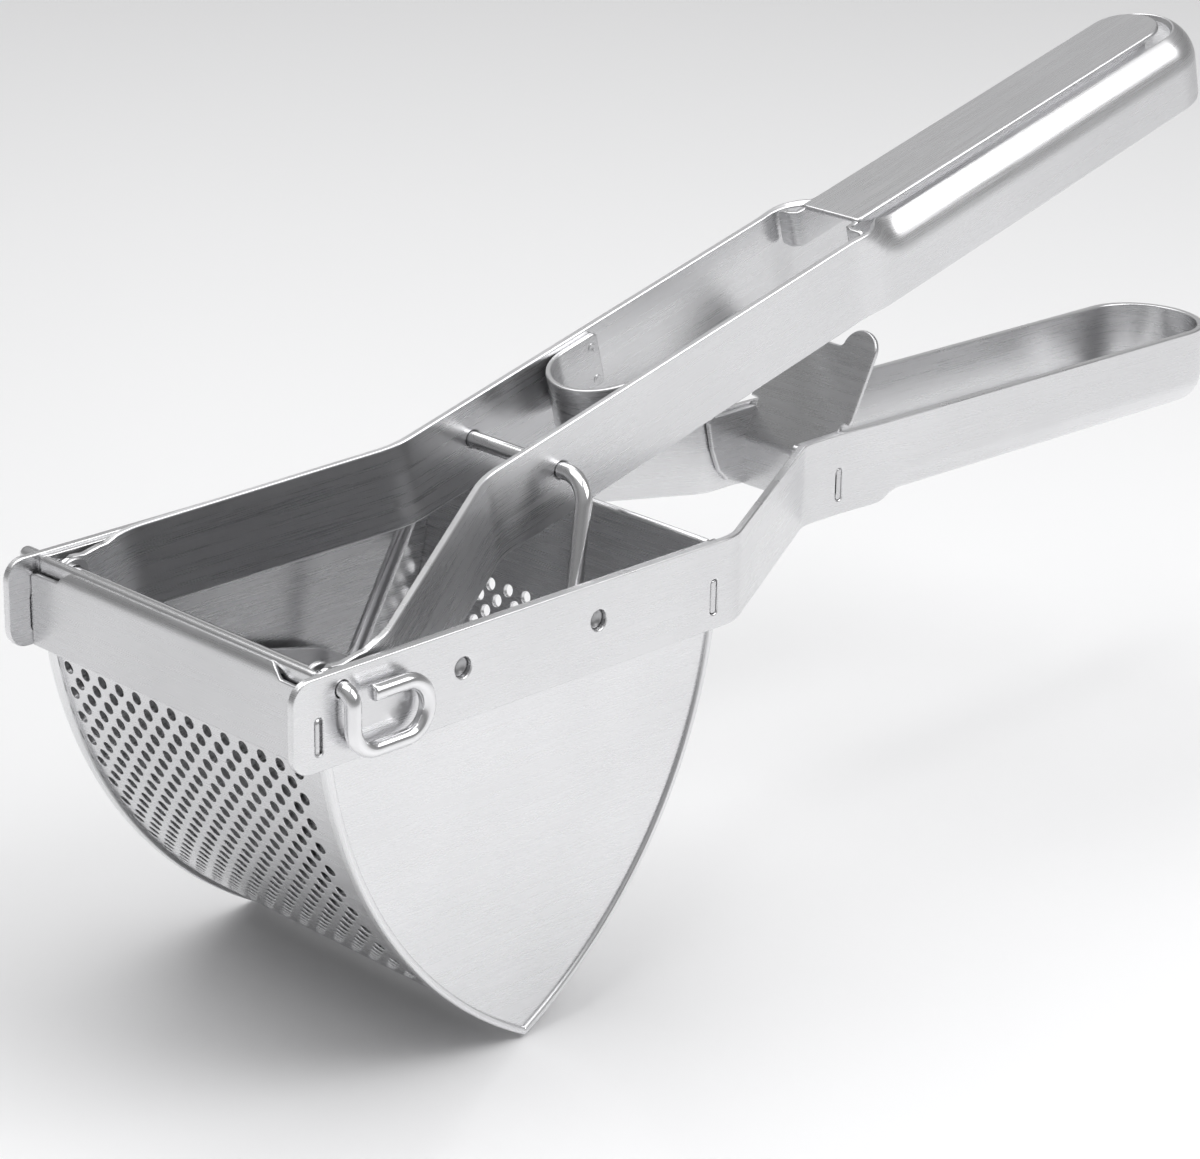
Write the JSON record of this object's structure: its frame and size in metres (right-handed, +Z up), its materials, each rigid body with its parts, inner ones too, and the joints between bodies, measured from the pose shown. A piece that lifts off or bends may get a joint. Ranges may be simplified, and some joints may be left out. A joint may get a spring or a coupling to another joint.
{
  "type": "potato ricer",
  "caption": "Hand potato ricer: V-shaped hopper with perforated curved screens, hinged press plate, wishbone lever on a pull-out pin and a loop handle.",
  "frame": {"origin": "on the hinge pin's axis, midway between the two frame straps", "axes": "+X from the hinge to the handle end, +Y to the side the pin's plain end sticks out of, +Z up, hopper pointing down"},
  "size_m": [0.2927, 0.0915, 0.1503],
  "materials": {
    "strap": "brushed along the strap",
    "sheet": "fine satin sheet",
    "panel": "bright satin",
    "screen": "perforated satin sheet",
    "press": "satin sheet",
    "wire": "polished drawn wire"
  },
  "bodies": {
    "frame": {"frame_strap": "strap", "front_bar": "sheet", "neck_bracket": "sheet", "panel_left": "panel", "panel_right": "panel", "front_screen": "screen", "rear_screen": "screen", "strap_rivets": "wire"},
    "lever": {"lever_strap": "strap", "grip_plate": "sheet", "nose_band": "sheet", "bail_wire": "wire"},
    "press": {"press_plate": "press", "wing_left": "press", "wing_right": "press"},
    "pin": {"pull_pin": "wire"}
  },
  "joints": [
    {"name": "lever_swing", "type": "hinge", "parent": "frame", "child": "lever", "pos_m": [0, 0, 0], "axis": [0, -1, 0], "range_deg": [-1.5, 80]},
    {"name": "press_swing", "type": "hinge", "parent": "frame", "child": "press", "pos_m": [0, 0, 0], "axis": [0, -1, 0], "range_deg": [-1.5, 80]},
    {"name": "pin_pull", "type": "slide", "parent": "frame", "child": "pin", "axis": [0, -1, 0], "range_m": [0, 0.09]}
  ],
  "couplings": [
    {"joint": "press_swing", "follows": "lever_swing", "ratio": 1}
  ]
}
